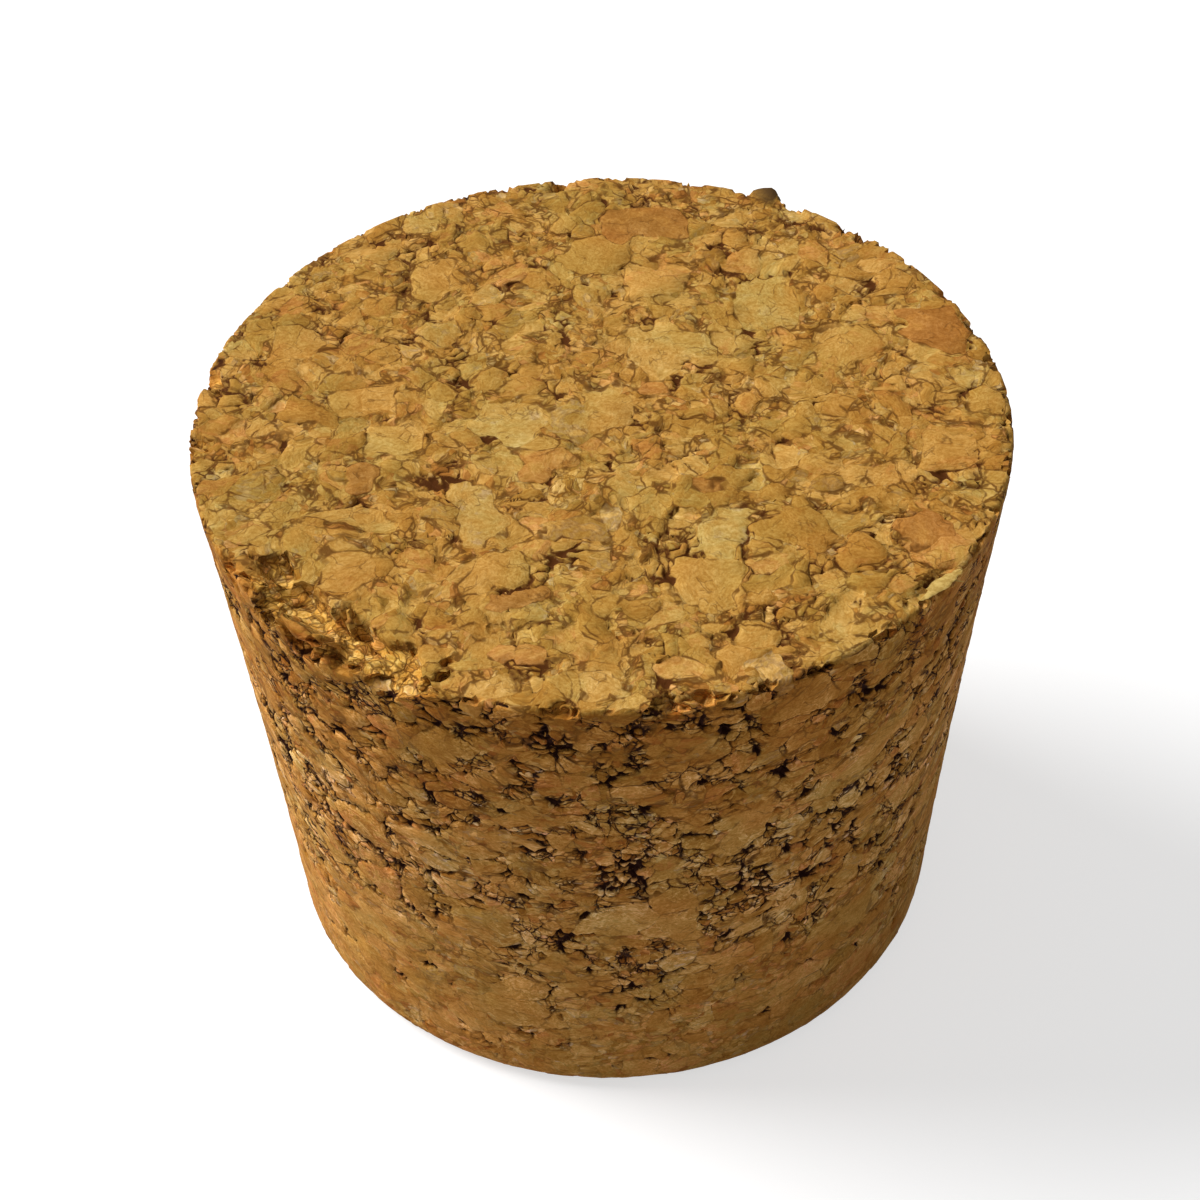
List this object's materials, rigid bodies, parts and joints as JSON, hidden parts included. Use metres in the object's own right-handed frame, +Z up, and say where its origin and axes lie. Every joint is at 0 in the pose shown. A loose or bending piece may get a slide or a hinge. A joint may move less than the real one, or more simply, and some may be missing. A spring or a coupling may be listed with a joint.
{
  "type": "cork stopper",
  "caption": "Tapered round stopper of pressed cork granules that plugs the mouth of a jar or bottle, with open voids round its side and a broken stretch of rim.",
  "frame": {"origin": "centre of the narrow end's flat face, on the surface that the stopper stands on", "axes": "+Z up the taper's axis to the wide end; -Y towards the front, where the rim is broken at the left"},
  "size_m": [0.035, 0.035, 0.027],
  "materials": {
    "pressed_cork": "matte, pressed cork granules ground to shape, no coating"
  },
  "bodies": {
    "root": {"stopper": "pressed_cork"}
  },
  "joints": []
}
